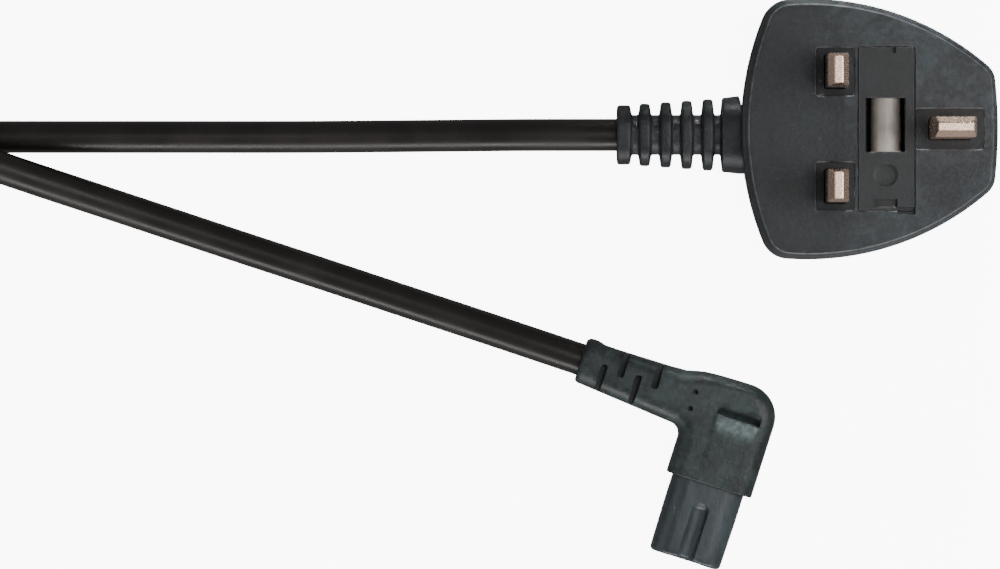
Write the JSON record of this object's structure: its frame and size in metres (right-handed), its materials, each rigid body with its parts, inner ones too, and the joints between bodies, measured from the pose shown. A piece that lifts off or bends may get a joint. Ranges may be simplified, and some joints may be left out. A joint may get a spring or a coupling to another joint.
{
  "type": "figure-eight power cord",
  "caption": "Mains lead with a fused plug with rectangular pins, a round black cord with its surplus coiled, and a right-angle figure-eight connector.",
  "frame": {"origin": "centre of the plug's flat back, which lies on the floor", "axes": "+Z out of the contact face along the pins, +X towards the earth pin, -X the way the cord leaves the plug"},
  "size_m": [0.3243, 0.1111, 0.0407],
  "materials": {
    "body_pvc": "fine satin overmould",
    "carrier_nylon": "satin",
    "sleeve_nylon": "satin",
    "nose_nylon": "smooth, slightly glossy",
    "sheath_pvc": "soft gloss",
    "brass": "bare, lightly brushed",
    "fuse_cap_metal": "plated, bright",
    "fuse_ceramic": "smooth, unglazed look",
    "tie_webbing": "woven"
  },
  "bodies": {
    "lead": {"plug_body": "body_pvc", "connector_body": "body_pvc", "line_pin_sleeve": "sleeve_nylon", "neutral_pin_sleeve": "sleeve_nylon", "connector_nose": "nose_nylon", "cord_plug_run": "sheath_pvc", "cord_connector_run": "sheath_pvc", "cord_coil": "sheath_pvc", "line_pin": "brass", "neutral_pin": "brass", "earth_pin": "brass", "fuse_clip_line": "brass", "fuse_clip_load": "brass", "line_contact": "brass", "neutral_contact": "brass", "coil_tie_1": "tie_webbing", "coil_tie_2": "tie_webbing"},
    "fuse_drawer": {"fuse_carrier": "carrier_nylon", "fuse_tube": "fuse_ceramic", "fuse_cap_line": "fuse_cap_metal", "fuse_cap_load": "fuse_cap_metal"}
  },
  "joints": [
    {"name": "fuse_carrier_slide", "type": "slide", "parent": "lead", "child": "fuse_drawer", "axis": [0, 0, 1], "range_m": [0, 0.012]}
  ]
}
